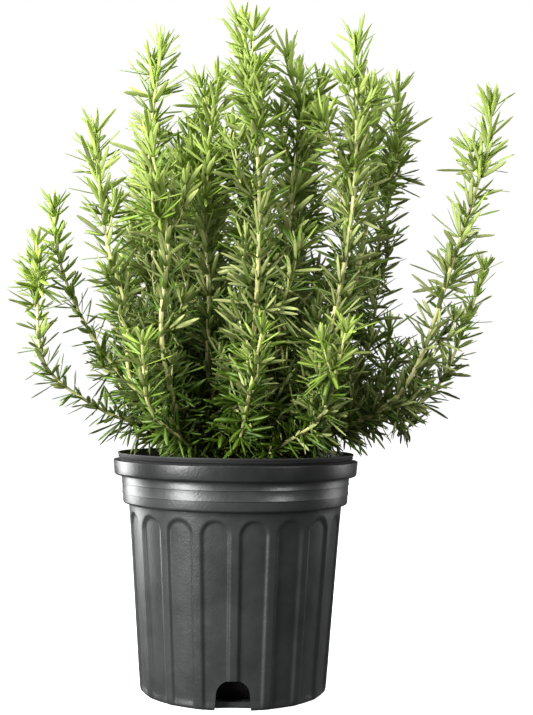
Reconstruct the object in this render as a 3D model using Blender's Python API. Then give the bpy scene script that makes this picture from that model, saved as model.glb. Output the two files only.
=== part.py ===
"""Potted rosemary: a fluted nursery pot, its potting mix, the woody crown, the stems and their leaves.

The origin is the middle of the pot's base, +Z is up and the pot's first drain notch faces -Y.
"""

import math
import random

import bmesh
import bpy
import numpy as np
from mathutils import Matrix, Vector

GAP = 0.0003

# Pot, from the base up
POT_HEIGHT = 0.214
RIM_RADIUS = 0.111
LIP_INSET = 0.003
LIP_RISE = 0.0064
RIM_BAND = 0.0135
RIM_OVERHANG = 0.0077
COLLAR_HEIGHT = 0.0255
COLLAR_TAPER = 0.0015
COLLAR_RIDGE = 0.0005
SHOULDER = 0.0053
BODY_TAPER = 0.0123
BASE_ROUNDING = 0.0025
WALL = 0.0014
FLOOR = 0.0022
PAD_RADIUS = 0.032
FOOT_WIDTH = 0.012
FLOOR_RISE = 0.003
POT_SEGMENTS = 54

# Flutes in the pot's body
FLUTE_COUNT = 18
FLUTE_DEPTH = 0.0022
FLUTE_SHARE = 0.81
FLUTE_SLOPE = 0.0042
FLUTE_TOP_DROP = 0.0066
FLUTE_FOOT = 0.0035
FLUTE_STEPS = 6
CUTTER_PROUD = 0.001

# Drain notches at the foot of the pot
NOTCH_COUNT = 4
NOTCH_WIDTH = 0.030
NOTCH_TOP_WIDTH = 0.0135
NOTCH_HEIGHT = 0.025
NOTCH_REACH = 0.020

# Soil and crown
SOIL_DROP = 0.018
SOIL_CROWN = 0.004
SOIL_UNDERCUT = 0.022
SOIL_UNDERCUT_HEIGHT = 0.034
CROWN_RADIUS = 0.021
CROWN_SQUASH = 0.85
CROWN_PLACE = (-0.006, 0.0)
LOWEST_STEM_ANGLE = 22

# Stems and leaves
STEM_BASE_RADIUS = 0.0025
STEM_TIP_RADIUS = 0.0008
STEM_ANCHOR = 0.0006
LEAF_LENGTH = 0.034
LEAF_PITCH = 0.030
LEAF_BAND = 0.0036
LEAF_RISE_LOW = 28
LEAF_RISE_TIP = 66
LEAF_TURN = 24
SHEATH_WALL = 0.0007
BARE_STEM = 0.052
TIP_TUFT = 0.012
LEAF_ROOM = 0.0022
LEAF_SHORTEST = 0.007
POT_ROOM = 0.004
SQUARE = math.sqrt(2)
PLANT_SEED = 7

# The way each stem runs, as points in millimetres from the middle of the soil's surface:
# x to the right, y to the back and z up. Each stem leaves the crown towards its first point.
STEM_ROUTES = [
    # left side, low arms first
    [(-75, -20, 34), (-120, -30, 52), (-168, -42, 90), (-176, -45, 150), (-178, -40, 196)],
    [(-62, -8, 45), (-105, -16, 84), (-140, -25, 135), (-162, -25, 192), (-166, -20, 236)],
    [(-56, -32, 42), (-92, -48, 78), (-97, -56, 140), (-116, -54, 204), (-128, -45, 300)],
    [(-45, 8, 50), (-66, 14, 84), (-76, 18, 156), (-84, 15, 286), (-74, 10, 390)],
    [(-38, -8, 50), (-56, -8, 94), (-48, -6, 160), (-36, -2, 240), (-22, 0, 352)],
    # front
    [(-30, -32, 38), (-54, -50, 62), (-66, -64, 122), (-62, -62, 200), (-80, -50, 292)],
    [(-18, -14, 45), (-26, -26, 88), (-26, -32, 156), (-32, -26, 226), (-42, -20, 278)],
    [(-12, -34, 40), (8, -58, 76), (16, -66, 150), (16, -60, 264), (0, -50, 390)],
    [(12, -12, 48), (34, -26, 98), (42, -32, 190), (52, -30, 310), (42, -24, 372)],
    [(26, -30, 36), (62, -54, 70), (86, -66, 150), (100, -60, 248), (102, -50, 376)],
    # right side
    [(52, 4, 52), (92, 6, 104), (112, 8, 190), (122, 10, 256), (126, 10, 350)],
    [(44, 26, 56), (92, 42, 116), (124, 46, 184), (142, 46, 250), (150, 40, 356)],
    [(62, -16, 26), (124, -30, 52), (158, -40, 92), (190, -40, 186), (219, -34, 280), (226, -28, 328)],
    [(70, 8, 28), (140, 14, 46), (186, 16, 76), (214, 16, 140), (230, 14, 190)],
    # middle and back
    [(2, 10, 60), (10, 20, 130), (14, 26, 240), (12, 22, 350)],
    [(-14, 30, 52), (-28, 56, 110), (-34, 66, 220), (-38, 60, 346)],
    [(20, 34, 48), (46, 62, 104), (58, 72, 210), (66, 68, 352)],
    [(-30, 22, 44), (-66, 52, 88), (-84, 66, 170), (-90, 64, 276)],
    [(-50, 32, 34), (-98, 66, 74), (-112, 84, 130), (-112, 90, 200)],
    [(6, 44, 36), (10, 94, 78), (12, 120, 160), (10, 126, 268)],
    [(-26, 56, 30), (-56, 112, 66), (-70, 136, 146), (-76, 138, 244)],
    [(40, 48, 34), (84, 92, 76), (102, 112, 156), (108, 114, 266)],
    [(62, 38, 34), (122, 70, 58), (144, 82, 92), (150, 84, 136)],
    # short young shoots low at the front and sides
    [(-48, -52, 28), (-74, -84, 56), (-80, -98, 112)],
    [(4, -50, 30), (8, -82, 54), (20, -100, 118)],
    [(44, -52, 26), (74, -82, 54), (92, -94, 124)],
    [(-16, 4, 42), (-44, 30, 110), (-56, 40, 220), (-58, 36, 300)],
]


def clear_scene():
    for obj in list(bpy.data.objects):
        bpy.data.objects.remove(obj, do_unlink=True)


def finish_material(name, colour, roughness):
    material = bpy.data.materials.new(name)
    material.use_nodes = True
    shader = material.node_tree.nodes["Principled BSDF"]
    shader.inputs["Base Color"].default_value = (*colour, 1)
    shader.inputs["Roughness"].default_value = roughness
    shader.inputs["Metallic"].default_value = 0.0
    material.diffuse_color = (*colour, 1)
    return material


def make_object(name, bm, material, smooth=True):
    """The bmesh as a named object, with its edges sharper than 35 degrees kept crisp."""
    mesh = bpy.data.meshes.new(name)
    bm.to_mesh(mesh)
    bm.free()
    if smooth:
        mesh.shade_smooth()
        mesh.set_sharp_from_angle(angle=math.radians(35))
    mesh.materials.append(material)
    obj = bpy.data.objects.new(name, mesh)
    bpy.context.scene.collection.objects.link(obj)
    return obj


def cut(obj, cutter):
    """Takes the hidden cutter out of the object."""
    cutter.hide_render = True
    cutter.display_type = "WIRE"
    modifier = obj.modifiers.new(cutter.name, "BOOLEAN")
    modifier.operation = "DIFFERENCE"
    modifier.solver = "EXACT"
    modifier.object = cutter


def turned(profile, segments):
    """A closed turned solid from (radius, height) points that run up the outside and down the inside."""
    bm = bmesh.new()
    points = [bm.verts.new((0.0, -radius, height)) for radius, height in profile]
    edges = [bm.edges.new(pair) for pair in zip(points, points[1:])]
    bmesh.ops.spin(
        bm,
        geom=points + edges,
        cent=(0, 0, 0),
        axis=(0, 0, 1),
        angle=math.tau,
        steps=segments,
        use_merge=True,
    )
    bmesh.ops.remove_doubles(bm, verts=bm.verts, dist=1e-6)
    bmesh.ops.recalc_face_normals(bm, faces=bm.faces)
    return bm


# Pot


def collar_foot():
    return POT_HEIGHT - LIP_RISE - RIM_BAND - COLLAR_HEIGHT


def collar_radius():
    return RIM_RADIUS - RIM_OVERHANG


def body_radius(height):
    """The outside of the tapering body, between its flutes, at a height."""
    top = collar_radius() - COLLAR_TAPER - SHOULDER
    return top - BODY_TAPER * (1 - height / collar_foot())


def inner_radius(height):
    """The inside of the tapering body, which clears the floors of the flutes by the wall."""
    return body_radius(height) - FLUTE_DEPTH - WALL


def pot_outside():
    """The outer profile from the middle of the base to the top of the lip."""
    foot = body_radius(0) - FOOT_WIDTH
    rim_foot = POT_HEIGHT - LIP_RISE - RIM_BAND
    collar = collar_radius()
    waist = collar - COLLAR_TAPER
    points = [
        (0.0, 0.0),
        (PAD_RADIUS, 0.0),
        (PAD_RADIUS + FLOOR_RISE, FLOOR_RISE),
        (foot - FLOOR_RISE, FLOOR_RISE),
        (foot, 0.0),
        (body_radius(0) - BASE_ROUNDING, 0.0),
        (body_radius(0) - 0.3 * BASE_ROUNDING, 0.3 * BASE_ROUNDING),
        (body_radius(BASE_ROUNDING), BASE_ROUNDING),
        (body_radius(collar_foot()), collar_foot()),
        (waist - 0.3 * SHOULDER, collar_foot()),
        (waist, collar_foot() + 0.45 * SHOULDER),
    ]
    for share in (0.35, 0.70):
        height = collar_foot() + share * COLLAR_HEIGHT
        radius = waist + share * COLLAR_TAPER
        points.append((radius, height))
        points.append((radius + COLLAR_RIDGE, height + COLLAR_RIDGE))
        points.append((radius + COLLAR_RIDGE / 3, height + 2.5 * COLLAR_RIDGE))
    points += [
        (collar, rim_foot),
        (RIM_RADIUS - 0.3 * LIP_INSET, rim_foot),
        (RIM_RADIUS, rim_foot + 0.7 * LIP_INSET),
        (RIM_RADIUS, rim_foot + RIM_BAND),
        (RIM_RADIUS - 0.35 * LIP_INSET, POT_HEIGHT - 0.3 * LIP_RISE),
        (RIM_RADIUS - LIP_INSET, POT_HEIGHT),
    ]
    return points


def lip_inner_radius():
    return RIM_RADIUS - LIP_INSET - WALL


def pot_inside():
    """The inner profile from the top of the lip to the middle of the floor."""
    rim_foot = POT_HEIGHT - LIP_RISE - RIM_BAND
    collar_inside = collar_radius() - COLLAR_TAPER - WALL
    floor = FLOOR_RISE + FLOOR
    return [
        (lip_inner_radius(), POT_HEIGHT),
        (lip_inner_radius() - 0.001, rim_foot + 0.002),
        (collar_inside, rim_foot - 0.002),
        (collar_inside - 0.001, collar_foot() + SHOULDER),
        (inner_radius(collar_foot()), collar_foot() - 0.001),
        (inner_radius(floor), floor),
        (0.0, floor),
    ]


def wrapped(across, height, depth):
    """A point on the pot's body, so far round it from the notch's middle and so far under its skin."""
    radius = body_radius(height)
    angle = across / radius
    out = radius - depth
    return Vector((out * math.sin(angle), -out * math.cos(angle), height))


def flute_columns(widen):
    """(distance across, foot, top) of the flute's columns; widen moves the outline out by that much."""
    pitch_angle = math.tau / FLUTE_COUNT
    half = FLUTE_SHARE * pitch_angle * body_radius(collar_foot()) / 2
    arch = half + widen
    spring = collar_foot() - FLUTE_TOP_DROP - half
    columns = []
    for step in range(FLUTE_STEPS + 1):
        angle = math.pi * step / FLUTE_STEPS
        across = -arch * math.cos(angle)
        top = spring + arch * math.sin(angle)
        columns.append((across, FLUTE_FOOT - widen, top))
    return columns


def flute_layer(bm, widen, depth):
    """One curved face of the flute's cutter: a strip of quads under an arch."""
    taper = body_radius(FLUTE_FOOT) / body_radius(collar_foot())
    rows = []
    for across, foot, top in flute_columns(widen):
        low = bm.verts.new(wrapped(across * taper, foot, depth))
        high = bm.verts.new(wrapped(across, top, depth))
        rows.append((low, high))
    faces = [bm.faces.new((a[0], b[0], b[1], a[1])) for a, b in zip(rows, rows[1:])]
    # The arch springs from its end columns, whose sides are single upright edges.
    return [edge for face in faces for edge in face.edges if edge.is_boundary]


def flute_cutter():
    """All the flutes as one cutter: a floor under the skin, slopes, and an outer face proud of it."""
    bm = bmesh.new()
    inner = flute_layer(bm, -FLUTE_SLOPE, FLUTE_DEPTH)
    proud = FLUTE_SLOPE * CUTTER_PROUD / FLUTE_DEPTH
    outer = flute_layer(bm, proud, -CUTTER_PROUD)
    bmesh.ops.bridge_loops(bm, edges=inner + outer)
    bmesh.ops.recalc_face_normals(bm, faces=bm.faces)
    pitch = math.tau / FLUTE_COUNT
    bmesh.ops.rotate(bm, cent=(0, 0, 0), matrix=Matrix.Rotation(pitch / 2, 3, "Z"), verts=bm.verts)
    first = list(bm.verts) + list(bm.edges) + list(bm.faces)
    for index in range(1, FLUTE_COUNT):
        copy = bmesh.ops.duplicate(bm, geom=first)["geom"]
        points = [item for item in copy if isinstance(item, bmesh.types.BMVert)]
        turn = Matrix.Rotation(index * pitch, 3, "Z")
        bmesh.ops.rotate(bm, cent=(0, 0, 0), matrix=turn, verts=points)
    return bm


def notch_outline():
    """Half widths and heights of the arched drain notch, from the foot up."""
    half, top = NOTCH_WIDTH / 2, NOTCH_TOP_WIDTH / 2
    return [
        (half, -0.002),
        (half, 0.12 * NOTCH_HEIGHT),
        (0.5 * (half + top) + 0.001, 0.72 * NOTCH_HEIGHT),
        (top + 0.0022, 0.92 * NOTCH_HEIGHT),
        (top * 0.75, NOTCH_HEIGHT),
    ]


def notch_cutter():
    """Four arched blocks that open the wall and the corner of the floor."""
    bm = bmesh.new()
    half = notch_outline()
    outline = half + [(-x, z) for x, z in reversed(half)]
    front = -(body_radius(NOTCH_HEIGHT) + 0.004)
    face = bm.faces.new([bm.verts.new((x, front, z)) for x, z in outline])
    block = bmesh.ops.extrude_face_region(bm, geom=[face])["geom"]
    points = [item for item in block if isinstance(item, bmesh.types.BMVert)]
    bmesh.ops.translate(bm, vec=(0, NOTCH_REACH, 0), verts=points)
    bmesh.ops.recalc_face_normals(bm, faces=bm.faces)
    first = list(bm.verts) + list(bm.edges) + list(bm.faces)
    for index in range(1, NOTCH_COUNT):
        copy = bmesh.ops.duplicate(bm, geom=first)["geom"]
        points = [item for item in copy if isinstance(item, bmesh.types.BMVert)]
        turn = Matrix.Rotation(math.tau * index / NOTCH_COUNT, 3, "Z")
        bmesh.ops.rotate(bm, cent=(0, 0, 0), matrix=turn, verts=points)
    return bm


def nursery_pot():
    plastic = finish_material("pot_plastic", (0.032, 0.034, 0.034), 0.38)
    pot = make_object("nursery_pot", turned(pot_outside() + pot_inside(), POT_SEGMENTS), plastic)
    cut(pot, make_object("flute_cutter", flute_cutter(), plastic, smooth=False))
    cut(pot, make_object("notch_cutter", notch_cutter(), plastic, smooth=False))


# Soil and crown


def soil_top():
    """Where the soil meets the pot's wall."""
    return POT_HEIGHT - SOIL_DROP


def crown_centre():
    """Sunk as far as leaves the lowest stems clear of the soil."""
    lowest = CROWN_RADIUS * CROWN_SQUASH * math.sin(math.radians(LOWEST_STEM_ANGLE))
    sunk = lowest - STEM_BASE_RADIUS - STEM_ANCHOR
    return Vector((*CROWN_PLACE, soil_top() + SOIL_CROWN - sunk))


def crown_point(direction, lift):
    """A point in a direction from the crown's middle, lifted off its skin."""
    stretch = Vector((direction.x, direction.y, direction.z / CROWN_SQUASH)).length
    return crown_centre() + direction * (CROWN_RADIUS / stretch + lift)


def potting_soil():
    """The packed mix: it follows the pot's inside, and its lower edge stands back from the drain notches."""
    floor = FLOOR_RISE + FLOOR + GAP
    ledge = collar_foot() + SHOULDER
    collar_inside = collar_radius() - COLLAR_TAPER - WALL - 0.001 - GAP
    profile = [
        (0.0, floor),
        (inner_radius(floor) - GAP - SOIL_UNDERCUT, floor),
        (inner_radius(SOIL_UNDERCUT_HEIGHT) - GAP, SOIL_UNDERCUT_HEIGHT),
        (inner_radius(collar_foot()) - GAP, collar_foot() - 0.001),
        (inner_radius(collar_foot()) - GAP, ledge),
        (collar_inside - 0.002, soil_top() - 0.001),
        (0.55 * collar_inside, soil_top() + 0.7 * SOIL_CROWN),
        (0.0, soil_top() + SOIL_CROWN),
    ]
    mix = finish_material("soil", (0.030, 0.020, 0.013), 0.95)
    soil = make_object("potting_soil", turned(profile, POT_SEGMENTS), mix)
    cut(soil, make_object("crown_socket", crown_shape(CROWN_RADIUS + GAP), mix, smooth=False))


def crown_shape(radius):
    bm = bmesh.new()
    bmesh.ops.create_icosphere(bm, subdivisions=2, radius=radius)
    bmesh.ops.scale(bm, vec=(1, 1, CROWN_SQUASH), verts=bm.verts)
    bmesh.ops.translate(bm, vec=crown_centre(), verts=bm.verts)
    return bm


def woody_crown():
    bark = finish_material("bark", (0.16, 0.105, 0.06), 0.85)
    make_object("woody_crown", crown_shape(CROWN_RADIUS), bark)


# Stems


def stem_points(route):
    """The stem's own points in space, from where it leaves the crown."""
    ground = Vector((0, 0, soil_top() + SOIL_CROWN))
    points = [ground + Vector(point) / 1000 for point in route]
    start = crown_point((points[0] - crown_centre()).normalized(), STEM_ANCHOR)
    return [start] + points


def smooth_run(points, steps=12):
    """A smooth curve through the points (a Catmull-Rom spline), as a fine list of points."""
    ends = [points[0] * 2 - points[1]] + points + [points[-1] * 2 - points[-2]]
    run = []
    for a, b, c, d in zip(ends, ends[1:], ends[2:], ends[3:]):
        for step in range(steps):
            t = step / steps
            run.append(
                0.5 * (2 * b + (c - a) * t + (2 * a - 5 * b + 4 * c - d) * t**2
                       + (3 * b - a - 3 * c + d) * t**3)
            )
    return run + [points[-1]]


def stations(route):
    """Evenly spaced points along the stem, about one leaf pitch apart."""
    run = smooth_run(stem_points(route))
    lengths = [0.0]
    for a, b in zip(run, run[1:]):
        lengths.append(lengths[-1] + (b - a).length)
    count = max(4, round(lengths[-1] / LEAF_PITCH))
    spaced, at = [], 0
    for index in range(count + 1):
        goal = lengths[-1] * index / count
        while at < len(run) - 2 and lengths[at + 1] < goal:
            at += 1
        share = (goal - lengths[at]) / (lengths[at + 1] - lengths[at])
        spaced.append(run[at].lerp(run[at + 1], share))
    return spaced


def frames(spaced):
    """A frame at each station, its Z along the stem, carried along without twisting."""
    turned_frames = []
    side = Vector((0, 0, 1)).orthogonal()
    for index, place in enumerate(spaced):
        ahead = spaced[min(index + 1, len(spaced) - 1)] - spaced[max(index - 1, 0)]
        along = ahead.normalized()
        if index == 0:
            side = along.cross(Vector((0, 0, 1))).normalized()
        side = (side - along * side.dot(along)).normalized()
        axes = Matrix((side, along.cross(side), along)).transposed().to_4x4()
        turned_frames.append(Matrix.Translation(place) @ axes)
    return turned_frames


def stem_radius(share):
    return STEM_BASE_RADIUS + (STEM_TIP_RADIUS - STEM_BASE_RADIUS) * share


def push_face(bm, face, before, after):
    """Extrudes the end face and carries it from ring to ring. Returns the new end and its sides."""
    old = set(bm.faces)
    made = bmesh.ops.extrude_discrete_faces(bm, faces=[face])["faces"][0]
    bmesh.ops.transform(bm, matrix=after @ before.inverted(), verts=made.verts)
    sides = [side for side in bm.faces if side not in old and side is not made]
    return made, sides


def tube_through(bm, rings):
    """A square tube through the rings, open at its start. Returns its end face and each stretch's sides."""
    start = bmesh.ops.create_circle(bm, cap_ends=True, segments=4, radius=1, matrix=rings[0])
    end = start["verts"][0].link_faces[0]
    stretches = []
    for before, after in zip(rings, rings[1:]):
        end, sides = push_face(bm, end, before, after)
        stretches.append(sides)
    return end, stretches


def sized_ring(frame, radius, lift=0.0):
    """A ring's matrix: the frame, lifted along the stem, with the ring's radius as its scale."""
    return frame @ Matrix.Translation((0, 0, lift)) @ Matrix.Diagonal((radius, radius, radius, 1))


def stem(name, stem_frames, bark):
    """One stem, from its anchor on the crown to its tip."""
    last = len(stem_frames) - 1
    rings = [sized_ring(f, stem_radius(i / last)) for i, f in enumerate(stem_frames)]
    bm = bmesh.new()
    tube_through(bm, rings)
    bmesh.ops.holes_fill(bm, edges=bm.edges, sides=4)
    bmesh.ops.recalc_face_normals(bm, faces=bm.faces)
    make_object(name, bm, bark)


# Leaves


def clear_of_pot(point):
    """Whether a leaf may reach a point without touching the pot or the soil."""
    out = math.hypot(point.x, point.y)
    if point.z > POT_HEIGHT + POT_ROOM or out > RIM_RADIUS + POT_ROOM:
        return True
    return out < lip_inner_radius() - POT_ROOM and point.z > soil_top() + SOIL_CROWN + POT_ROOM


def leaf_fits(root, tip, own, others):
    """Whether a leaf stays nearer to its own stem than to any other, and off the pot."""
    for share in (0.35, 0.6, 0.8, 1.0):
        point = root.lerp(tip, share)
        if not clear_of_pot(point):
            return False
        to_own = np.linalg.norm(own - np.array(point), axis=1).min()
        to_other = np.linalg.norm(others - np.array(point), axis=1).min()
        if to_other < to_own + LEAF_ROOM + LEAF_BAND * (1 - share):
            return False
    return True


def leaf_tip(root, reach, own, others):
    """Where a leaf ends: its whole reach, or less where a neighbour or the pot is in the way."""
    for share in (1.0, 0.85, 0.7, 0.55, 0.4, 0.28):
        tip = root + reach * share
        if reach.length * share < LEAF_SHORTEST:
            return None
        if leaf_fits(root, tip, own, others):
            return tip
    return None


def leaf_reach(face, frame, height, turn, chance):
    """The direction and length that a leaf wants, flatter and longer low on the stem."""
    along = frame.col[2].xyz.normalized()
    out = face.calc_center_median() - frame.translation
    out = (out - along * out.dot(along)).normalized()
    out.rotate(Matrix.Rotation(math.radians(turn), 3, along))
    rise = math.radians(LEAF_RISE_LOW + (LEAF_RISE_TIP - LEAF_RISE_LOW) * height**1.5)
    length = LEAF_LENGTH * (1 - 0.35 * height**3) * chance.uniform(0.85, 1.08)
    return (out * math.cos(rise) + along * math.sin(rise)) * length


def leaves(name, stem_frames, own, others, green, chance):
    """The leaves of one stem: four at each node, on a thin sleeve that clears the stem by the gap."""
    last = len(stem_frames) - 1
    first = max(1, round(BARE_STEM / LEAF_PITCH))
    inner, outer, nodes = [], [], []
    for index in range(first, last):
        hole = stem_radius(index / last) + GAP * SQUARE
        low = sized_ring(stem_frames[index], hole + SHEATH_WALL * SQUARE)
        hole_next = stem_radius((index + 1) / last) + GAP * SQUARE
        ahead = sized_ring(stem_frames[index + 1], hole_next + SHEATH_WALL * SQUARE)
        share = LEAF_BAND / LEAF_PITCH
        inner.append(sized_ring(stem_frames[index], hole))
        nodes.append(len(outer))
        outer += [low, low * (1 - share) + ahead * share]
    hole = stem_radius(1) + GAP * SQUARE
    inner.append(sized_ring(stem_frames[last], hole, GAP))
    outer.append(sized_ring(stem_frames[last], hole + SHEATH_WALL * SQUARE, GAP + SHEATH_WALL))
    bm = bmesh.new()
    # One run of skin: down inside the sleeve, round its lower edge and up outside.
    end, stretches = tube_through(bm, inner[::-1] + outer)
    bmesh.ops.holes_fill(bm, edges=bm.edges, sides=4)
    top = stem_frames[last].col[2].xyz * TIP_TUFT + end.calc_center_median()
    bmesh.ops.poke(bm, faces=[end])["verts"][0].co = top
    for count, ring in enumerate(nodes):
        frame = stem_frames[first + count]
        turn = LEAF_TURN if count % 2 else -LEAF_TURN
        for face in stretches[len(inner) + ring]:
            root = face.calc_center_median()
            reach = leaf_reach(face, frame, (first + count) / last, turn, chance)
            tip = leaf_tip(root, reach, own, others)
            if tip is not None:
                bmesh.ops.poke(bm, faces=[face])["verts"][0].co = tip
    bmesh.ops.recalc_face_normals(bm, faces=bm.faces)
    make_object(name, bm, green, smooth=False)


def plant():
    """Every stem and, on it, its leaves."""
    bark = finish_material("stem_bark", (0.33, 0.27, 0.13), 0.75)
    green = finish_material("leaf", (0.10, 0.19, 0.055), 0.55)
    chance = random.Random(PLANT_SEED)
    stem_runs = [stations(route) for route in STEM_ROUTES]
    fine_runs = [np.array(smooth_run(run, 5)) for run in stem_runs]
    for index, spaced in enumerate(stem_runs):
        stem_frames = frames(spaced)
        others = np.concatenate(fine_runs[:index] + fine_runs[index + 1:])
        stem(f"stem_{index + 1:02d}", stem_frames, bark)
        leaves(f"leaves_{index + 1:02d}", stem_frames, fine_runs[index], others, green, chance)


def main():
    clear_scene()
    nursery_pot()
    potting_soil()
    woody_crown()
    plant()


main()
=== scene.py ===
"""Looks of the potted rosemary: pot, soil, crown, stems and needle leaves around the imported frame."""

import math
import random

import bmesh
import bpy
from mathutils import Matrix, Vector, noise


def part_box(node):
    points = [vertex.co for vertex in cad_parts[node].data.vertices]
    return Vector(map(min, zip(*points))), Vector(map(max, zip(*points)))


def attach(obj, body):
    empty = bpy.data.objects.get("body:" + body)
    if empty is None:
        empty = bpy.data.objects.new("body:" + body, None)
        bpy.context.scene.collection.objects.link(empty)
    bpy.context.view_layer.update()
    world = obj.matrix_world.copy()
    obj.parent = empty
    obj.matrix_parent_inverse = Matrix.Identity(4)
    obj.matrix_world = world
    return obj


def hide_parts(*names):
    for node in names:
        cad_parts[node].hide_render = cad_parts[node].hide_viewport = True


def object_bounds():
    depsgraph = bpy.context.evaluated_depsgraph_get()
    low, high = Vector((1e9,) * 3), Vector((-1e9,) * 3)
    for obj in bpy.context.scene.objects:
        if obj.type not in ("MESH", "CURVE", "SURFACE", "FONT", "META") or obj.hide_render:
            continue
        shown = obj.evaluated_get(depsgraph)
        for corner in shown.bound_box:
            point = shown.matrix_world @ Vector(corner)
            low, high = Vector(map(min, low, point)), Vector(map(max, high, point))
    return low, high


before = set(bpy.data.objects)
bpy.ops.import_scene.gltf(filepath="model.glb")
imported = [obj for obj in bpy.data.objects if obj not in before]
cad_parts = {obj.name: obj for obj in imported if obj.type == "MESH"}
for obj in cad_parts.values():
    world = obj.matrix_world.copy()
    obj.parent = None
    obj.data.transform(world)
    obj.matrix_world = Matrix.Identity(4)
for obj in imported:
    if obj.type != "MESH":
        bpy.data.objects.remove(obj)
cad_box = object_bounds()

# Sizes are in metres. The pot's own height and rim come from the frame.
POT_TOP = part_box("nursery_pot")[1].z
RIM_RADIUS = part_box("nursery_pot")[1].x

# Pot
FLUTES = 18
FLUTE_COLUMNS = 38
ARCH_ROWS = 28
ARCH_ROWS_START = 0.130
FLUTE_DEPTH = 0.0022
FLUTE_SHARE = 0.81
FLUTE_SLOPE = 0.0031
FLUTE_TOP_DROP = 0.0066
FLUTE_FOOT_SHARE = 0.25
FOOT_FADE = 0.008
FOOT_FILLET = 0.0042
FLOOR_TOP = 0.0052
FLOOR_RISE = 0.003
COLLAR_FOOT = 0.1686
COLLAR_HEIGHT = 0.0255
COLLAR_RADIUS = 0.1033
COLLAR_TAPER = 0.0015
COLLAR_RIDGES = (0.35, 0.70)
SHOULDER = 0.0053
SHOULDER_FILLET = 0.0012
BAND_FILLET = 0.0022
RIM_DROP = 0.0199
RIM_LEAN = 0.0009
LIP_DROP = 0.0066
LIP_BEAD = 0.0006
# How far below the top the painted shade on the lip and on the rim's band begins and is full; the lip is also
# matte.
LIP_EDGE = (0.0067, 0.0062)
BAND_EDGE = (0.0206, 0.0196)
BODY_TAPER = 0.0123
WALL = 0.0014
NOTCH_HALF_WIDTH = 0.0153
NOTCH_HEIGHT = 0.0262
NOTCH_CORNER = 0.0125
NOTCH_REACH = 0.094
NOTCH_LENGTH = 0.023

# Soil
SOIL_DROP = 0.018
SOIL_CROWN = 0.004
SOIL_ROOM = 0.0006
SOIL_FOOT_RADIUS = 0.058
SOIL_TAPER_TOP = 0.034
SOIL_RINGS = 30
CHIPS = 420
CHIPS_REACH = 0.097

# Leaves and stems
LEAF_LENGTH = 0.0355
LEAF_WIDTH = 0.0043
NODE_SPACING = 0.0098
STEM_BASE_RADIUS = 0.0023
STEM_TIP_RADIUS = 0.0012
SHOOT_TIP_RADIUS = 0.0006
TIP_LEAVES = 9
# The turn, in radians, from one leaf to the next round a shoot's tip.
TIP_TURN = 2.4
TIP_LIFT = 0.0003
# How curled the leaves in axils and tufts are, from 0, hanging, to 1, curling up.
AXIL_CURL = 0.55
POT_ROOM = 0.0015
LIP_ROOM = 0.0075
LEAF_REACH = 0.0085
# The share of a stem, from its foot, where its leaves crowd over the rim, and how many more its axils hold.
CROWDED_SHARE = 0.3
CROWDED_LEAVES = 5
# The share of a stem, from its foot, where even a weak stem's leaves are near their full length.
FULL_LEAF_SHARE = 0.35
# How strongly some stems grow beside the others, by the stem's number.
WEAKER_STEMS = {1: 0.68, 2: 0.70, 3: 0.86, 12: 0.84, 13: 0.92, 14: 0.74, 24: 0.80, 25: 0.80, 26: 0.80}

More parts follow.
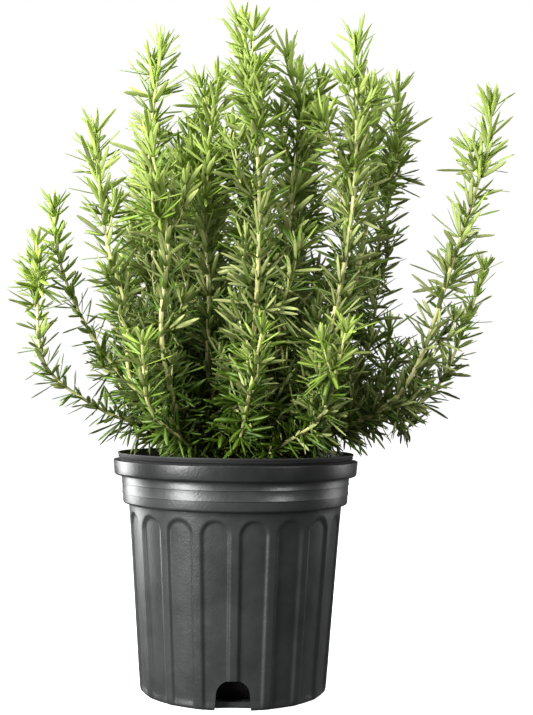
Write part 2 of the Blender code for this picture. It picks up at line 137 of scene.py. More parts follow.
# The way each stem runs, as points in millimetres from the middle of the soil's surface:
# x to the right, y to the back and z up, as the frame's own stems run.
STEM_ROUTES = [
    # left side, low arms first
    [(-75, -20, 34), (-120, -30, 52), (-168, -42, 90), (-176, -45, 150), (-178, -40, 196)],
    [(-62, -8, 45), (-105, -16, 84), (-140, -25, 135), (-162, -25, 192), (-166, -20, 236)],
    [(-56, -32, 42), (-92, -48, 78), (-97, -56, 140), (-116, -54, 204), (-128, -45, 300)],
    [(-45, 8, 50), (-66, 14, 84), (-76, 18, 156), (-84, 15, 286), (-74, 10, 390)],
    [(-38, -8, 50), (-56, -8, 94), (-48, -6, 160), (-36, -2, 240), (-22, 0, 352)],
    # front
    [(-30, -32, 38), (-54, -50, 62), (-66, -64, 122), (-62, -62, 200), (-80, -50, 292)],
    [(-18, -14, 45), (-26, -26, 88), (-26, -32, 156), (-32, -26, 226), (-42, -20, 278)],
    [(-12, -34, 40), (8, -58, 76), (16, -66, 150), (16, -60, 264), (0, -50, 390)],
    [(12, -12, 48), (34, -26, 98), (42, -32, 190), (52, -30, 310), (42, -24, 372)],
    [(26, -30, 36), (62, -54, 70), (86, -66, 150), (100, -60, 248), (102, -50, 376)],
    # right side
    [(52, 4, 52), (92, 6, 104), (112, 8, 190), (122, 10, 256), (126, 10, 350)],
    [(44, 26, 56), (92, 42, 116), (124, 46, 184), (142, 46, 250), (150, 40, 356)],
    [(62, -16, 26), (124, -30, 52), (158, -40, 92), (190, -40, 186), (219, -34, 280), (226, -28, 328)],
    [(70, 8, 28), (140, 14, 46), (186, 16, 76), (214, 16, 140), (230, 14, 190)],
    # middle and back
    [(2, 10, 60), (10, 20, 130), (14, 26, 240), (12, 22, 350)],
    [(-14, 30, 52), (-28, 56, 110), (-34, 66, 220), (-38, 60, 346)],
    [(20, 34, 48), (46, 62, 104), (58, 72, 210), (66, 68, 352)],
    [(-30, 22, 44), (-66, 52, 88), (-84, 66, 170), (-90, 64, 276)],
    [(-50, 32, 34), (-98, 66, 74), (-112, 84, 130), (-112, 90, 200)],
    [(6, 44, 36), (10, 94, 78), (12, 120, 160), (10, 126, 268)],
    [(-26, 56, 30), (-56, 112, 66), (-70, 136, 146), (-76, 138, 244)],
    [(40, 48, 34), (84, 92, 76), (102, 112, 156), (108, 114, 266)],
    [(62, 38, 34), (122, 70, 58), (144, 82, 92), (150, 84, 136)],
    # short young shoots low at the front and sides
    [(-48, -52, 28), (-74, -84, 56), (-80, -98, 112)],
    [(4, -50, 30), (8, -82, 54), (20, -100, 118)],
    [(44, -52, 26), (74, -82, 54), (92, -94, 124)],
    [(-16, 4, 42), (-44, 30, 110), (-56, 40, 220), (-58, 36, 300)],
]


# Camera, light and floor


def camera():
    """The camera in front of the plant, a little above the rim and all but level."""
    data = bpy.data.cameras.new("camera")
    data.lens = 62.4
    data.sensor_width = 36
    view = bpy.data.objects.new("camera", data)
    turn = Matrix.Rotation(math.radians(-1.35), 4, "Z")
    tilt = Matrix.Rotation(math.radians(91.63), 4, "X")
    roll = Matrix.Rotation(math.radians(0.72), 4, "Z")
    view.matrix_world = Matrix.Translation((0, -1.1335, 0.2687)) @ turn @ tilt @ roll
    bpy.context.scene.collection.objects.link(view)
    bpy.context.scene.camera = view


def softbox(name, place, width, height, power):
    """A soft box lamp that faces the middle of the plant."""
    data = bpy.data.lights.new(name, "AREA")
    data.shape = "RECTANGLE"
    data.size = width
    data.size_y = height
    data.energy = power
    lamp = bpy.data.objects.new(name, data)
    lamp.location = place
    aim = Vector((0, 0, 0.3)) - Vector(place)
    lamp.rotation_euler = aim.to_track_quat("-Z", "Y").to_euler()
    bpy.context.scene.collection.objects.link(lamp)


def studio():
    """A white room with tall soft boxes at the left and right, one overhead and two behind."""
    world = bpy.data.worlds.new("white_room")
    bpy.context.scene.world = world
    world.use_nodes = True
    tree = world.node_tree
    shown = add(tree, "LightPath").outputs["Is Camera Ray"]
    strength = add(tree, "MapRange", Value=shown, To_Min=0.12, To_Max=1.0).outputs["Result"]
    background = tree.nodes["Background"]
    background.inputs["Color"].default_value = (1, 1, 1, 1)
    tree.links.new(strength, background.inputs["Strength"])
    softbox("key", (-1.40, -1.12, 0.80), 0.65, 1.60, 98)
    softbox("fill", (1.30, -1.20, 1.10), 0.30, 1.00, 18)
    softbox("overhead", (-0.2, 0.1, 1.9), 1.0, 1.0, 24)
    softbox("back_left", (-1.7, 1.1, 0.5), 0.9, 1.4, 46)
    softbox("back_right", (1.8, 0.8, 0.6), 0.9, 1.4, 11)
    bpy.context.scene.view_settings.view_transform = "Standard"


def floor():
    """A pale floor that glows a little, so that it meets the white room without an edge."""
    bm = bmesh.new()
    bmesh.ops.create_circle(bm, cap_ends=True, segments=96, radius=12.0)
    pale = material("pale_floor", (0.90, 0.90, 0.90), 0.9)
    glow = shader_of(pale)
    glow.inputs["Emission Color"].default_value = (1, 1, 1, 1)
    glow.inputs["Emission Strength"].default_value = 1.0
    ground = finished("floor", bm, pale, smooth=False)
    ground.visible_diffuse = False
    ground.visible_glossy = False


# Node helpers


def add(tree, kind, settings=None, **inputs):
    """A shader node with its settings, and its inputs linked or set by name."""
    made = tree.nodes.new("ShaderNode" + kind)
    for key, value in (settings or {}).items():
        setattr(made, key, value)
    for key, value in inputs.items():
        put(tree, made.inputs[key.replace("_", " ")], value)
    return made


def put(tree, socket, value):
    """Links an output into a socket, or sets the socket to a constant."""
    if isinstance(value, bpy.types.NodeSocket):
        tree.links.new(value, socket)
    else:
        socket.default_value = value


def sums(tree, operation, *values):
    """A Math node's result."""
    made = tree.nodes.new("ShaderNodeMath")
    made.operation = operation
    for socket, value in zip(made.inputs, values):
        put(tree, socket, value)
    return made.outputs[0]


def blend(tree, share, first, second):
    """Two colours mixed by a share."""
    made = tree.nodes.new("ShaderNodeMix")
    made.data_type = "RGBA"
    put(tree, made.inputs[0], share)
    put(tree, made.inputs[6], first)
    put(tree, made.inputs[7], second)
    return made.outputs[2]


def spread(tree, value, low, high, to_low=0.0, to_high=1.0):
    """A value stretched smoothly from one range to another."""
    made = add(tree, "MapRange", {"interpolation_type": "SMOOTHSTEP"}, Value=value)
    for name, number in zip(("From Min", "From Max", "To Min", "To Max"), (low, high, to_low, to_high)):
        made.inputs[name].default_value = number
    return made.outputs["Result"]


def rgb(red, green, blue):
    return (red, green, blue, 1)


def material(name, colour, roughness):
    made = bpy.data.materials.new(name)
    made.use_nodes = True
    shader = made.node_tree.nodes["Principled BSDF"]
    shader.inputs["Base Color"].default_value = (*colour, 1)
    shader.inputs["Roughness"].default_value = roughness
    return made


def shader_of(made):
    return made.node_tree.nodes["Principled BSDF"]


def bump(tree, height, strength, distance):
    made = add(tree, "Bump", Height=height)
    made.inputs["Strength"].default_value = strength
    made.inputs["Distance"].default_value = distance
    return made.outputs["Normal"]


def group(name, inputs, outputs, build):
    """A node group with number or vector inputs and plain outputs, filled in by build."""
    tree = bpy.data.node_groups.new(name, "ShaderNodeTree")
    for label, kind in inputs:
        tree.interface.new_socket(label, in_out="INPUT", socket_type="NodeSocket" + kind)
    for label in outputs:
        tree.interface.new_socket(label, in_out="OUTPUT", socket_type="NodeSocketFloat")
    start = tree.nodes.new("NodeGroupInput")
    end = tree.nodes.new("NodeGroupOutput")
    for label, socket in build(tree, start.outputs).items():
        tree.links.new(socket, end.inputs[label])
    return tree


def use(tree, shared, **inputs):
    made = tree.nodes.new("ShaderNodeGroup")
    made.node_tree = shared
    for key, value in inputs.items():
        put(tree, made.inputs[key.replace("_", " ")], value)
    return made.outputs


def mottle_group():
    """Soft patches crossed with finer ones, from 0 to 1 about a half."""

    def build(tree, given):
        wide = add(tree, "TexNoise", Vector=given["Vector"], Scale=given["Scale"], Detail=3.0)
        finer = sums(tree, "MULTIPLY", given["Scale"], 4.7)
        fine = add(tree, "TexNoise", Vector=given["Vector"], Scale=finer, Detail=2.0)
        both = sums(tree, "ADD", wide.outputs["Fac"], sums(tree, "MULTIPLY", fine.outputs["Fac"], 0.5))
        return {"Mask": spread(tree, both, 0.45, 1.05)}

    return group("mottle", [("Vector", "Vector"), ("Scale", "Float")], ["Mask"], build)


def grain_group():
    """A fine pebbled relief, with its height from 0 to 1."""

    def build(tree, given):
        place, scale = given["Vector"], given["Scale"]
        cells = add(tree, "TexVoronoi", {"feature": "SMOOTH_F1"}, Vector=place, Scale=scale)
        slow = sums(tree, "MULTIPLY", scale, 0.35)
        wave = add(tree, "TexNoise", Vector=place, Scale=slow, Detail=2.0)
        return {"Height": sums(tree, "ADD", cells.outputs["Distance"], wave.outputs["Fac"])}

    return group("grain", [("Vector", "Vector"), ("Scale", "Float")], ["Height"], build)


# Mesh helpers


def finished(name, bm, finish, smooth=True, sharp=38):
    """The bmesh as an object at the origin."""
    mesh = bpy.data.meshes.new(name)
    bm.to_mesh(mesh)
    bm.free()
    if smooth:
        mesh.shade_smooth()
        mesh.set_sharp_from_angle(angle=math.radians(sharp))
    mesh.materials.append(finish)
    obj = bpy.data.objects.new(name, mesh)
    bpy.context.scene.collection.objects.link(obj)
    return obj


def stands_for(obj, slot, *nodes):
    """The piece rides on the one body and replaces the frame's nodes. Its slot is not used."""
    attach(obj, "root")
    if nodes:
        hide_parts(*nodes)


def turned(profile, segments):
    """A turned shape from (radius, height) points up the outside and down the inside."""
    bm = bmesh.new()
    points = [bm.verts.new((0.0, -radius, height)) for radius, height in profile]
    edges = [bm.edges.new(pair) for pair in zip(points, points[1:])]
    bmesh.ops.spin(
        bm,
        geom=points + edges,
        cent=(0, 0, 0),
        axis=(0, 0, 1),
        angle=math.tau,
        steps=segments,
        use_merge=True,
    )
    bmesh.ops.remove_doubles(bm, verts=bm.verts, dist=1e-6)
    bmesh.ops.recalc_face_normals(bm, faces=bm.faces)
    return bm


def smooth_step(value):
    value = min(1.0, max(0.0, value))
    return value * value * (3 - 2 * value)


# Pot


def body_radius(height):
    """The outside of the body between the flutes."""
    top = COLLAR_RADIUS - COLLAR_TAPER - SHOULDER
    return top - BODY_TAPER * (1 - height / COLLAR_FOOT)


def inner_radius(height):
    """The inside of the body's wall, behind the flutes."""
    return body_radius(height) - FLUTE_DEPTH - WALL


def arc(centre, radius, start, end, steps):
    """Points on an arc in the profile's plane, angles in degrees from outwards."""
    points = []
    for step in range(steps + 1):
        angle = math.radians(start + (end - start) * step / steps)
        points.append((centre[0] + radius * math.cos(angle), centre[1] + radius * math.sin(angle)))
    return points


def underside():
    """The raised middle and the ring that the pot stands on, out to the foot's fillet."""
    foot = body_radius(0)
    points = [(0, 0), (0.031, 0), (0.032, 0.0005), (0.034, FLOOR_RISE), (foot - 0.017, FLOOR_RISE)]
    points += [(foot - 0.0135, 0.0004), (foot - 0.012, 0)]
    return points + arc((foot - FOOT_FILLET, FOOT_FILLET), FOOT_FILLET, -90, -6, 8)


def body_side():
    """The tapering side, in close rows where the flutes' arches turn, up to the shoulder."""
    heights = [0.0055, 0.007, 0.009, 0.012, 0.02, 0.035, 0.06, 0.09, 0.112, 0.122, 0.128]
    arch_top = COLLAR_FOOT - FLUTE_TOP_DROP + 0.0015
    for row in range(ARCH_ROWS + 1):
        heights.append(ARCH_ROWS_START + (arch_top - ARCH_ROWS_START) * row / ARCH_ROWS)
    points = [(body_radius(height), height) for height in heights]
    shoulder = COLLAR_FOOT - SHOULDER_FILLET
    return points + arc((body_radius(shoulder) + SHOULDER_FILLET, shoulder), SHOULDER_FILLET, 180, 90, 4)


def collar_side():
    """The collar with its raised ridges."""
    waist = COLLAR_RADIUS - COLLAR_TAPER
    points = arc((waist - BAND_FILLET, COLLAR_FOOT + BAND_FILLET), BAND_FILLET, -90, 0, 6)
    for share in COLLAR_RIDGES:
        height = COLLAR_FOOT + share * COLLAR_HEIGHT
        radius = waist + share * COLLAR_TAPER
        points += [(radius - 0.0002, height - 0.0004), (radius - 0.0002, height)]
        points += [(radius + 0.0005, height + 0.0003), (radius + 0.0005, height + 0.0007)]
        points += [(radius + 0.0001, height + 0.0012)]
    return points


def rim_side():
    """The rim's band, the ledge on it, the groove, and the lip with its rounded bead."""
    rim, top = RIM_RADIUS, POT_TOP
    under = top - RIM_DROP
    points = arc((COLLAR_RADIUS + 0.0010, under - 0.0010), 0.0010, 180, 90, 3)
    points += arc((rim - BAND_FILLET - RIM_LEAN, under + BAND_FILLET), BAND_FILLET, -90, -6, 6)
    points += [(rim - RIM_LEAN * 0.7, under + 0.006), (rim, top - 0.0072)]
    points += arc((rim - 0.0005, top - 0.0071), 0.0005, 20, 90, 3)
    points += [(rim - 0.0014, top - LIP_DROP), (rim - 0.0054, top - 0.0065), (rim - 0.0058, top - 0.0061)]
    points += [(rim - 0.0049, top - 0.0042), (rim - 0.0042, top - 0.0040), (rim - 0.0041, top - 0.0036)]
    points += [(rim - 0.0047, top - 0.0033), (rim - 0.0037, top - 0.0010)]
    return points + arc((rim - 0.0043, top - LIP_BEAD), LIP_BEAD, 0, 180, 6)


def inner_side():
    """Down the inner wall and in to the middle of the floor."""
    waist = COLLAR_RADIUS - COLLAR_TAPER
    under = POT_TOP - RIM_DROP
    points = [(RIM_RADIUS - 0.0068, POT_TOP - 0.0060), (RIM_RADIUS - 0.0072, under + 0.001)]
    points += [(waist - WALL, under - 0.003), (waist - WALL - 0.001, COLLAR_FOOT + SHOULDER)]
    points += [(inner_radius(COLLAR_FOOT), COLLAR_FOOT - 0.001), (inner_radius(0.006), 0.006)]
    return points + [(inner_radius(0.006) - 0.002, FLOOR_TOP), (0, FLOOR_TOP)]


def flute_depth(angle, height):
    """How deep the fluted skin lies at an angle round the pot and a height."""
    pitch = math.tau / FLUTES
    radius = body_radius(height)
    off = (angle % pitch - pitch / 2) * radius
    half = FLUTE_SHARE * pitch * radius / 2
    arch = FLUTE_SHARE * pitch * body_radius(COLLAR_FOOT) / 2
    spring = COLLAR_FOOT - FLUTE_TOP_DROP - arch
    if height > spring:
        inside = arch - math.hypot(off * arch / half, height - spring)
    else:
        inside = half - abs(off)
    foot_share = FLUTE_FOOT_SHARE + (1 - FLUTE_FOOT_SHARE) * smooth_step(height / FOOT_FADE)
    return FLUTE_DEPTH * smooth_step(inside / FLUTE_SLOPE) * foot_share


def flute_the_body(bm):
    """Presses the arched flutes into the outer skin of the body."""
    for vert in bm.verts:
        out = math.hypot(vert.co.x, vert.co.y)
        on_fillet = vert.co.z < FOOT_FILLET and out > body_radius(0) - FOOT_FILLET - 1e-5
        on_skin = FOOT_FILLET <= vert.co.z < COLLAR_FOOT - 0.002
        if on_fillet or (on_skin and abs(out - body_radius(vert.co.z)) < 1e-5):
            angle = math.atan2(vert.co.x, -vert.co.y)
            share = 1 - flute_depth(angle, vert.co.z) / out
            vert.co.x *= share
            vert.co.y *= share


def notch_cutter():
    """Four blocks with rounded arches that open the foot of the wall."""
    half, corner = NOTCH_HALF_WIDTH, NOTCH_CORNER
    outline = [(half, -0.002), (half, 0.004)]
    outline += arc((half - corner - 0.0010, NOTCH_HEIGHT - corner), corner, 6, 90, 10)
    outline += [(-x, z) for x, z in reversed(outline)]
    bm = bmesh.new()
    face = bm.faces.new([bm.verts.new((x, -NOTCH_REACH, z)) for x, z in outline])
    block = bmesh.ops.extrude_face_region(bm, geom=[face])["geom"]
    moved = [item for item in block if isinstance(item, bmesh.types.BMVert)]
    bmesh.ops.translate(bm, vec=(0, NOTCH_LENGTH, 0), verts=moved)
    bmesh.ops.recalc_face_normals(bm, faces=bm.faces)
    first = list(bm.verts) + list(bm.edges) + list(bm.faces)
    for quarter in (1, 2, 3):
        copy = bmesh.ops.duplicate(bm, geom=first)["geom"]
        points = [item for item in copy if isinstance(item, bmesh.types.BMVert)]
        turn = Matrix.Rotation(math.radians(90 * quarter), 3, "Z")
        bmesh.ops.rotate(bm, cent=(0, 0, 0), matrix=turn, verts=points)
    return bm


def apply_modifiers(obj):
    graph = bpy.context.evaluated_depsgraph_get()
    made = bpy.data.meshes.new_from_object(obj.evaluated_get(graph))
    obj.modifiers.clear()
    obj.data = made


def pot_plastic(grain, mottle):
    """Moulded charcoal plastic with a pebbled skin, faint flow marks and dust.

    It is matte on the lip and inside, and painted shade darkens it there and on the rim's band.
    """
    made = material("pot_plastic", (0.034, 0.037, 0.037), 0.36)
    tree, shader = made.node_tree, shader_of(made)
    place = add(tree, "TexCoord").outputs["Object"]
    patches = use(tree, mottle, Vector=place, Scale=22.0)["Mask"]
    streak_map = add(tree, "Mapping", Vector=place, Scale=(60, 60, 7))
    streaks = add(tree, "TexNoise", Vector=streak_map.outputs["Vector"], Scale=1.0, Detail=3.0)
    faces_up = add(tree, "SeparateXYZ", Vector=add(tree, "NewGeometry").outputs["Normal"]).outputs["Z"]
    ledges = spread(tree, faces_up, 0.75, 0.98)
    specks = add(tree, "TexNoise", Vector=place, Scale=420.0, Detail=3.0)
    dust = sums(tree, "MULTIPLY", ledges, spread(tree, specks.outputs["Fac"], 0.45, 0.7))
    height = add(tree, "SeparateXYZ", Vector=place).outputs["Z"]
    outwards = add(tree, "VectorMath", {"operation": "MULTIPLY"}, Vector=place)
    outwards.inputs[1].default_value = (1, 1, 0)
    facing = add(tree, "VectorMath", {"operation": "DOT_PRODUCT"}, Vector=outwards.outputs["Vector"])
    tree.links.new(add(tree, "NewGeometry").outputs["Normal"], facing.inputs[1])
    # Painted shade darkens the lip, the inside and the rim's band towards near black; the lip and the inside
    # are also made matte.
    lip = spread(tree, height, POT_TOP - LIP_EDGE[0], POT_TOP - LIP_EDGE[1])
    band = spread(tree, height, POT_TOP - BAND_EDGE[0], POT_TOP - BAND_EDGE[1], 0, 0.7)
    matte_and_painted_shade = sums(tree, "MAXIMUM", lip, spread(tree, facing.outputs["Value"], 0.0, -0.02))
    dark = sums(tree, "MAXIMUM", matte_and_painted_shade, band)
    shade = blend(tree, patches, rgb(0.024, 0.025, 0.025), rgb(0.036, 0.038, 0.038))
    flow = spread(tree, streaks.outputs["Fac"], 0.5, 0.8, 0, 0.22)
    shade = blend(tree, flow, shade, rgb(0.044, 0.047, 0.046))
    shade = blend(tree, sums(tree, "MULTIPLY", dust, 0.35), shade, rgb(0.12, 0.10, 0.075))
    # Painted shade: near black mixed in over the lip, the inside and the rim's band.
    shade = blend(tree, sums(tree, "MULTIPLY", dark, 0.8), shade, rgb(0.004, 0.004, 0.004))
    put(tree, shader.inputs["Base Color"], shade)
    matt = sums(tree, "MULTIPLY", sums(tree, "ADD", dust, matte_and_painted_shade), 0.3)
    put(tree, shader.inputs["Roughness"], sums(tree, "ADD", spread(tree, patches, 0, 1, 0.31, 0.37), matt))
    pebbles = use(tree, grain, Vector=place, Scale=620.0)["Height"]
    put(tree, shader.inputs["Normal"], bump(tree, pebbles, 0.28, 0.0003))
    return made


def nursery_pot(finish):
    """The turned pot, with its flutes pressed in and its drain notches cut."""
    profile = underside() + body_side() + collar_side() + rim_side() + inner_side()
    bm = turned(profile, FLUTES * FLUTE_COLUMNS)
    flute_the_body(bm)
    pot = finished("fluted_pot", bm, finish)
    cutter = finished("notch_cutter", notch_cutter(), finish, smooth=False)
    cut = pot.modifiers.new("notches", "BOOLEAN")
    cut.operation = "DIFFERENCE"
    cut.solver = "EXACT"
    cut.object = cutter
    apply_modifiers(pot)
    bpy.data.objects.remove(cutter)
    pot.data.set_sharp_from_angle(angle=math.radians(50))
    stands_for(pot, "pot_plastic", "nursery_pot")


# Curves


def smooth_run(points, steps=12):
    """A smooth curve through the points (a Catmull-Rom spline), as a fine list of points."""
    ends = [points[0] * 2 - points[1]] + points + [points[-1] * 2 - points[-2]]
    run = []
    for a, b, c, d in zip(ends, ends[1:], ends[2:], ends[3:]):
        for step in range(steps):
            t = step / steps
            bend = (2 * a - 5 * b + 4 * c - d) * t**2
            swing = (3 * b - a - 3 * c + d) * t**3
            run.append(0.5 * (2 * b + (c - a) * t + bend + swing))
    return run + [points[-1]]


def evenly(run, spacing):
    """Points along the run at an even spacing, ends included."""
    lengths = [0.0]
    for a, b in zip(run, run[1:]):
        lengths.append(lengths[-1] + (b - a).length)
    count = max(2, round(lengths[-1] / spacing))
    spaced, at = [], 0
    for index in range(count + 1):
        goal = lengths[-1] * index / count
        while at < len(run) - 2 and lengths[at + 1] < goal:
            at += 1
        share = (goal - lengths[at]) / (lengths[at + 1] - lengths[at])
        spaced.append(run[at].lerp(run[at + 1], share))
    return spaced


def frames_along(spaced):
    """A frame at each point, its Z along the run, carried along without twisting."""
    made = []
    side = None
    for index, place in enumerate(spaced):
        ahead = spaced[min(index + 1, len(spaced) - 1)] - spaced[max(index - 1, 0)]
        along = ahead.normalized()
        if side is None:
            side = along.orthogonal()
        side = (side - along * side.dot(along)).normalized()
        turn = Matrix((side, along.cross(side), along)).transposed().to_4x4()
        made.append(Matrix.Translation(place) @ turn)
    return made


# Stems


def skin_run(bm, places, radii, age_of, chance):
    """A closed tube along the frames, with its age in the tone layer."""
    tone = bm.verts.layers.float_color["tone"]
    rings = []
    for place, radius in zip(places, radii):
        rings.append(place @ Matrix.Diagonal((radius, radius, radius, 1)))
    start = bmesh.ops.create_circle(bm, cap_ends=True, segments=8, radius=1, matrix=rings[0])["verts"]
    pick = chance.random()
    for vert in start:
        vert[tone] = (pick, age_of(0.0), 0, 1)
    face = start[0].link_faces[0]
    for index, (before, after) in enumerate(zip(rings, rings[1:])):
        # An extrusion leaves no face behind it, so the tube is hollow. Its open foot is filled at the end.
        face = bmesh.ops.extrude_discrete_faces(bm, faces=[face])["faces"][0]
        bmesh.ops.transform(bm, matrix=after @ before.inverted(), verts=face.verts)
        for vert in face.verts:
            vert[tone] = (pick, age_of((index + 1) / (len(rings) - 1)), 0, 1)
    bmesh.ops.holes_fill(bm, edges=[edge for edge in bm.edges if edge.is_boundary], sides=8)


def stem_material(mottle):
    """Young shoots pale yellow-green and downy, ageing to tan bark with fine cracks along it."""
    made = material("stem_bark", (0.33, 0.27, 0.13), 0.7)
    tree, shader = made.node_tree, shader_of(made)
    tones = add(tree, "Attribute", {"attribute_name": "tone"})
    parts = add(tree, "SeparateColor", Color=tones.outputs["Color"])
    young = spread(tree, parts.outputs["Green"], 0.06, 0.38)
    place = add(tree, "TexCoord").outputs["Object"]
    long_map = add(tree, "Mapping", Vector=place, Scale=(1400, 1400, 170))
    cracks = add(tree, "TexNoise", Vector=long_map.outputs["Vector"], Scale=1.0, Detail=4.0)
    crack = spread(tree, cracks.outputs["Fac"], 0.42, 0.62)
    patches = use(tree, mottle, Vector=place, Scale=90.0)["Mask"]
    bark = blend(tree, crack, rgb(0.17, 0.115, 0.06), rgb(0.46, 0.37, 0.22))
    bark = blend(tree, sums(tree, "MULTIPLY", patches, 0.4), bark, rgb(0.30, 0.29, 0.20))
    green = blend(tree, patches, rgb(0.46, 0.46, 0.16), rgb(0.60, 0.58, 0.25))
    green = blend(tree, spread(tree, parts.outputs["Green"], 0.8, 1.0), green, rgb(0.46, 0.56, 0.16))
    put(tree, shader.inputs["Base Color"], blend(tree, young, bark, green))
    put(tree, shader.inputs["Roughness"], spread(tree, young, 0, 1, 0.85, 0.55))
    put(tree, shader.inputs["Normal"], bump(tree, cracks.outputs["Fac"], 0.5, 0.0004))
    return made


# Leaves

# Half section of a leaf in units of its half width: margin, crown of the upper side, then the rolled
# edge and the midrib of the underside. The last number says how much of the felted underside shows.
LEAF_SECTION = [
    (-1.0, -0.08, 0.35),
    (0.0, 0.20, 0.0),
    (1.0, -0.08, 0.35),
    (0.66, -0.24, 0.6),
    (0.0, -0.08, 1.0),
    (-0.66, -0.24, 0.6),
]
# (share of the length, share of the width) from the leaf's foot to its tip.
LEAF_OUTLINE = [(0.0, 0.42), (0.13, 0.78), (0.42, 1.0), (0.74, 0.95), (0.93, 0.62), (1.0, 0.16)]


def leaf_shape(name, curve, sweep, roll):
    """One leaf of unit length and width along +Y, with its upper side up.

    It curves upwards, sweeps sideways and rolls by so many degrees over its length.
    """
    bm = bmesh.new()
    tone = bm.verts.layers.float_color.new("tone")
    ring = bmesh.ops.create_circle(bm, cap_ends=True, segments=len(LEAF_SECTION), radius=1)["verts"]
    for vert, (across, up, under) in zip(ring, LEAF_SECTION):
        vert.co = (across / 2, 0, up / 2)
        vert[tone] = (0, 0, under, 0)
    face = ring[0].link_faces[0]
    bmesh.ops.scale(bm, vec=(LEAF_OUTLINE[0][1],) * 3, verts=ring)
    here = Matrix.Identity(4)
    steps = zip(LEAF_OUTLINE, LEAF_OUTLINE[1:])
    for (share_a, width_a), (share_b, width_b) in steps:
        face = bmesh.ops.extrude_discrete_faces(bm, faces=[face])["faces"][0]
        step = share_b - share_a
        bend = Matrix.Rotation(math.radians(curve * step), 4, "X")
        turn = Matrix.Rotation(math.radians(sweep * step), 4, "Z")
        twist = Matrix.Rotation(math.radians(roll * step), 4, "Y")
        there = here @ bend @ turn @ twist @ Matrix.Translation((0, step, 0))
        grow = Matrix.Scale(width_b / width_a, 4)
        bmesh.ops.transform(bm, matrix=there @ grow @ here.inverted(), verts=face.verts)
        for vert in face.verts:
            vert[tone] = (0, 0, vert[tone][2], share_b)
        here = there
    bmesh.ops.holes_fill(bm, edges=[edge for edge in bm.edges if edge.is_boundary], sides=6)
    bmesh.ops.recalc_face_normals(bm, faces=bm.faces)
    mesh = bpy.data.meshes.new(name)
    bm.to_mesh(mesh)
    bm.free()
    return mesh


def leaf_shapes():
    """Leaves that hang, lie straight or curl upwards, each to the left and to the right."""
    shapes = []
    for curve in (-34, -8, 14, 34, 58):
        for sweep in (-16, 15):
            shapes.append(leaf_shape(f"leaf_{len(shapes)}", curve, sweep, sweep * 2))
    return shapes


def clear_of_pot(point):
    """Whether a leaf may reach a point without touching the pot or the soil."""
    out = math.hypot(point.x, point.y)
    if point.z > POT_TOP + POT_ROOM or out > RIM_RADIUS + POT_ROOM:
        return True
    return out < RIM_RADIUS - LIP_ROOM and point.z > POT_TOP - SOIL_DROP + SOIL_CROWN + POT_ROOM


def within_reach(point):
    """Whether a leaf's tip stays close enough to the frame's own leaves."""
    low, high = cad_box
    return all(low[axis] - LEAF_REACH < point[axis] < high[axis] + LEAF_REACH for axis in (0, 1))


def put_leaf(bm, shape, place, length, width, tones):
    """Adds a copy of a leaf shape with its own tones, unless it would meet the pot or reach too far."""
    tip = place @ Vector((0, length, 0))
    middle = place @ Vector((0, length * 0.6, 0))
    if not (clear_of_pot(tip) and clear_of_pot(middle) and within_reach(tip)):
        return
    count = len(bm.verts)
    bm.from_mesh(shape)
    bm.verts.ensure_lookup_table()
    tone = bm.verts.layers.float_color["tone"]
    sized = place @ Matrix.Diagonal((width, length, width, 1))
    for index in range(count, len(bm.verts)):
        vert = bm.verts[index]
        vert.co = sized @ vert.co
        vert[tone] = (tones[0], tones[1], vert[tone][2], vert[tone][3])


def leaf_place(at, azimuth, rise, lift, lean):
    """A leaf's frame: it leaves the stem's frame at an azimuth and rises by an angle from square to it."""
    around = Matrix.Rotation(azimuth, 4, "Z")
    up = Matrix.Rotation(rise, 4, "X")
    return at @ around @ Matrix.Translation((0, lift, 0)) @ up @ Matrix.Rotation(lean, 4, "Y")


def pick_shape(shapes, curl, chance):
    """A leaf shape about as curled as asked, from 0, hanging, to 1, curling up."""
    step = curl * (len(shapes) / 2 - 1) + chance.gauss(0, 0.7)
    pair = int(min(len(shapes) / 2 - 1, max(0, round(step))))
    return shapes[pair * 2 + chance.randrange(2)]


def leafy_run(bm, shapes, nodes, radii, age_of, start, size, chance):
    """Leaves in crossing pairs at a stem's nodes, with a cluster in each leaf's axil."""
    last = len(nodes) - 1
    turn = chance.uniform(0, math.tau)
    for index, (at, radius) in enumerate(zip(nodes, radii)):
        share = index / last
        if share < start:
            continue
        turn += math.radians(90 + chance.gauss(0, 9))
        age = age_of(share)
        young = smooth_step((age - 0.86) / 0.14)
        reach = max(size, 0.95) if share < FULL_LEAF_SHARE else size
        length = reach * LEAF_LENGTH * (1 - 0.18 * young) * chance.uniform(0.80, 1.10)
        rise = math.radians(7 + 24 * share + 20 * young)
        for side in (0, math.pi):
            azimuth = turn + side + chance.gauss(0, 0.14)
            own_rise = rise + chance.gauss(0, 0.17)
            place = leaf_place(at, azimuth, own_rise, radius * 0.6, chance.gauss(0, 0.24))
            curl = 0.25 if share < CROWDED_SHARE else 0.44 + 0.24 * share - 0.3 * young
            shape = pick_shape(shapes, curl, chance)
            width = LEAF_WIDTH * size**0.5 * (1 - 0.3 * young) * chance.uniform(0.76, 1.28)
            tones = (chance.random(), min(1, age + chance.gauss(0, 0.05)))
            put_leaf(bm, shape, place, length * chance.uniform(0.88, 1.1), width, tones)
            more = CROWDED_LEAVES if share < CROWDED_SHARE else 0
            axil_leaves(bm, shapes, at, turn + side, rise, radius, length, age, more, chance)


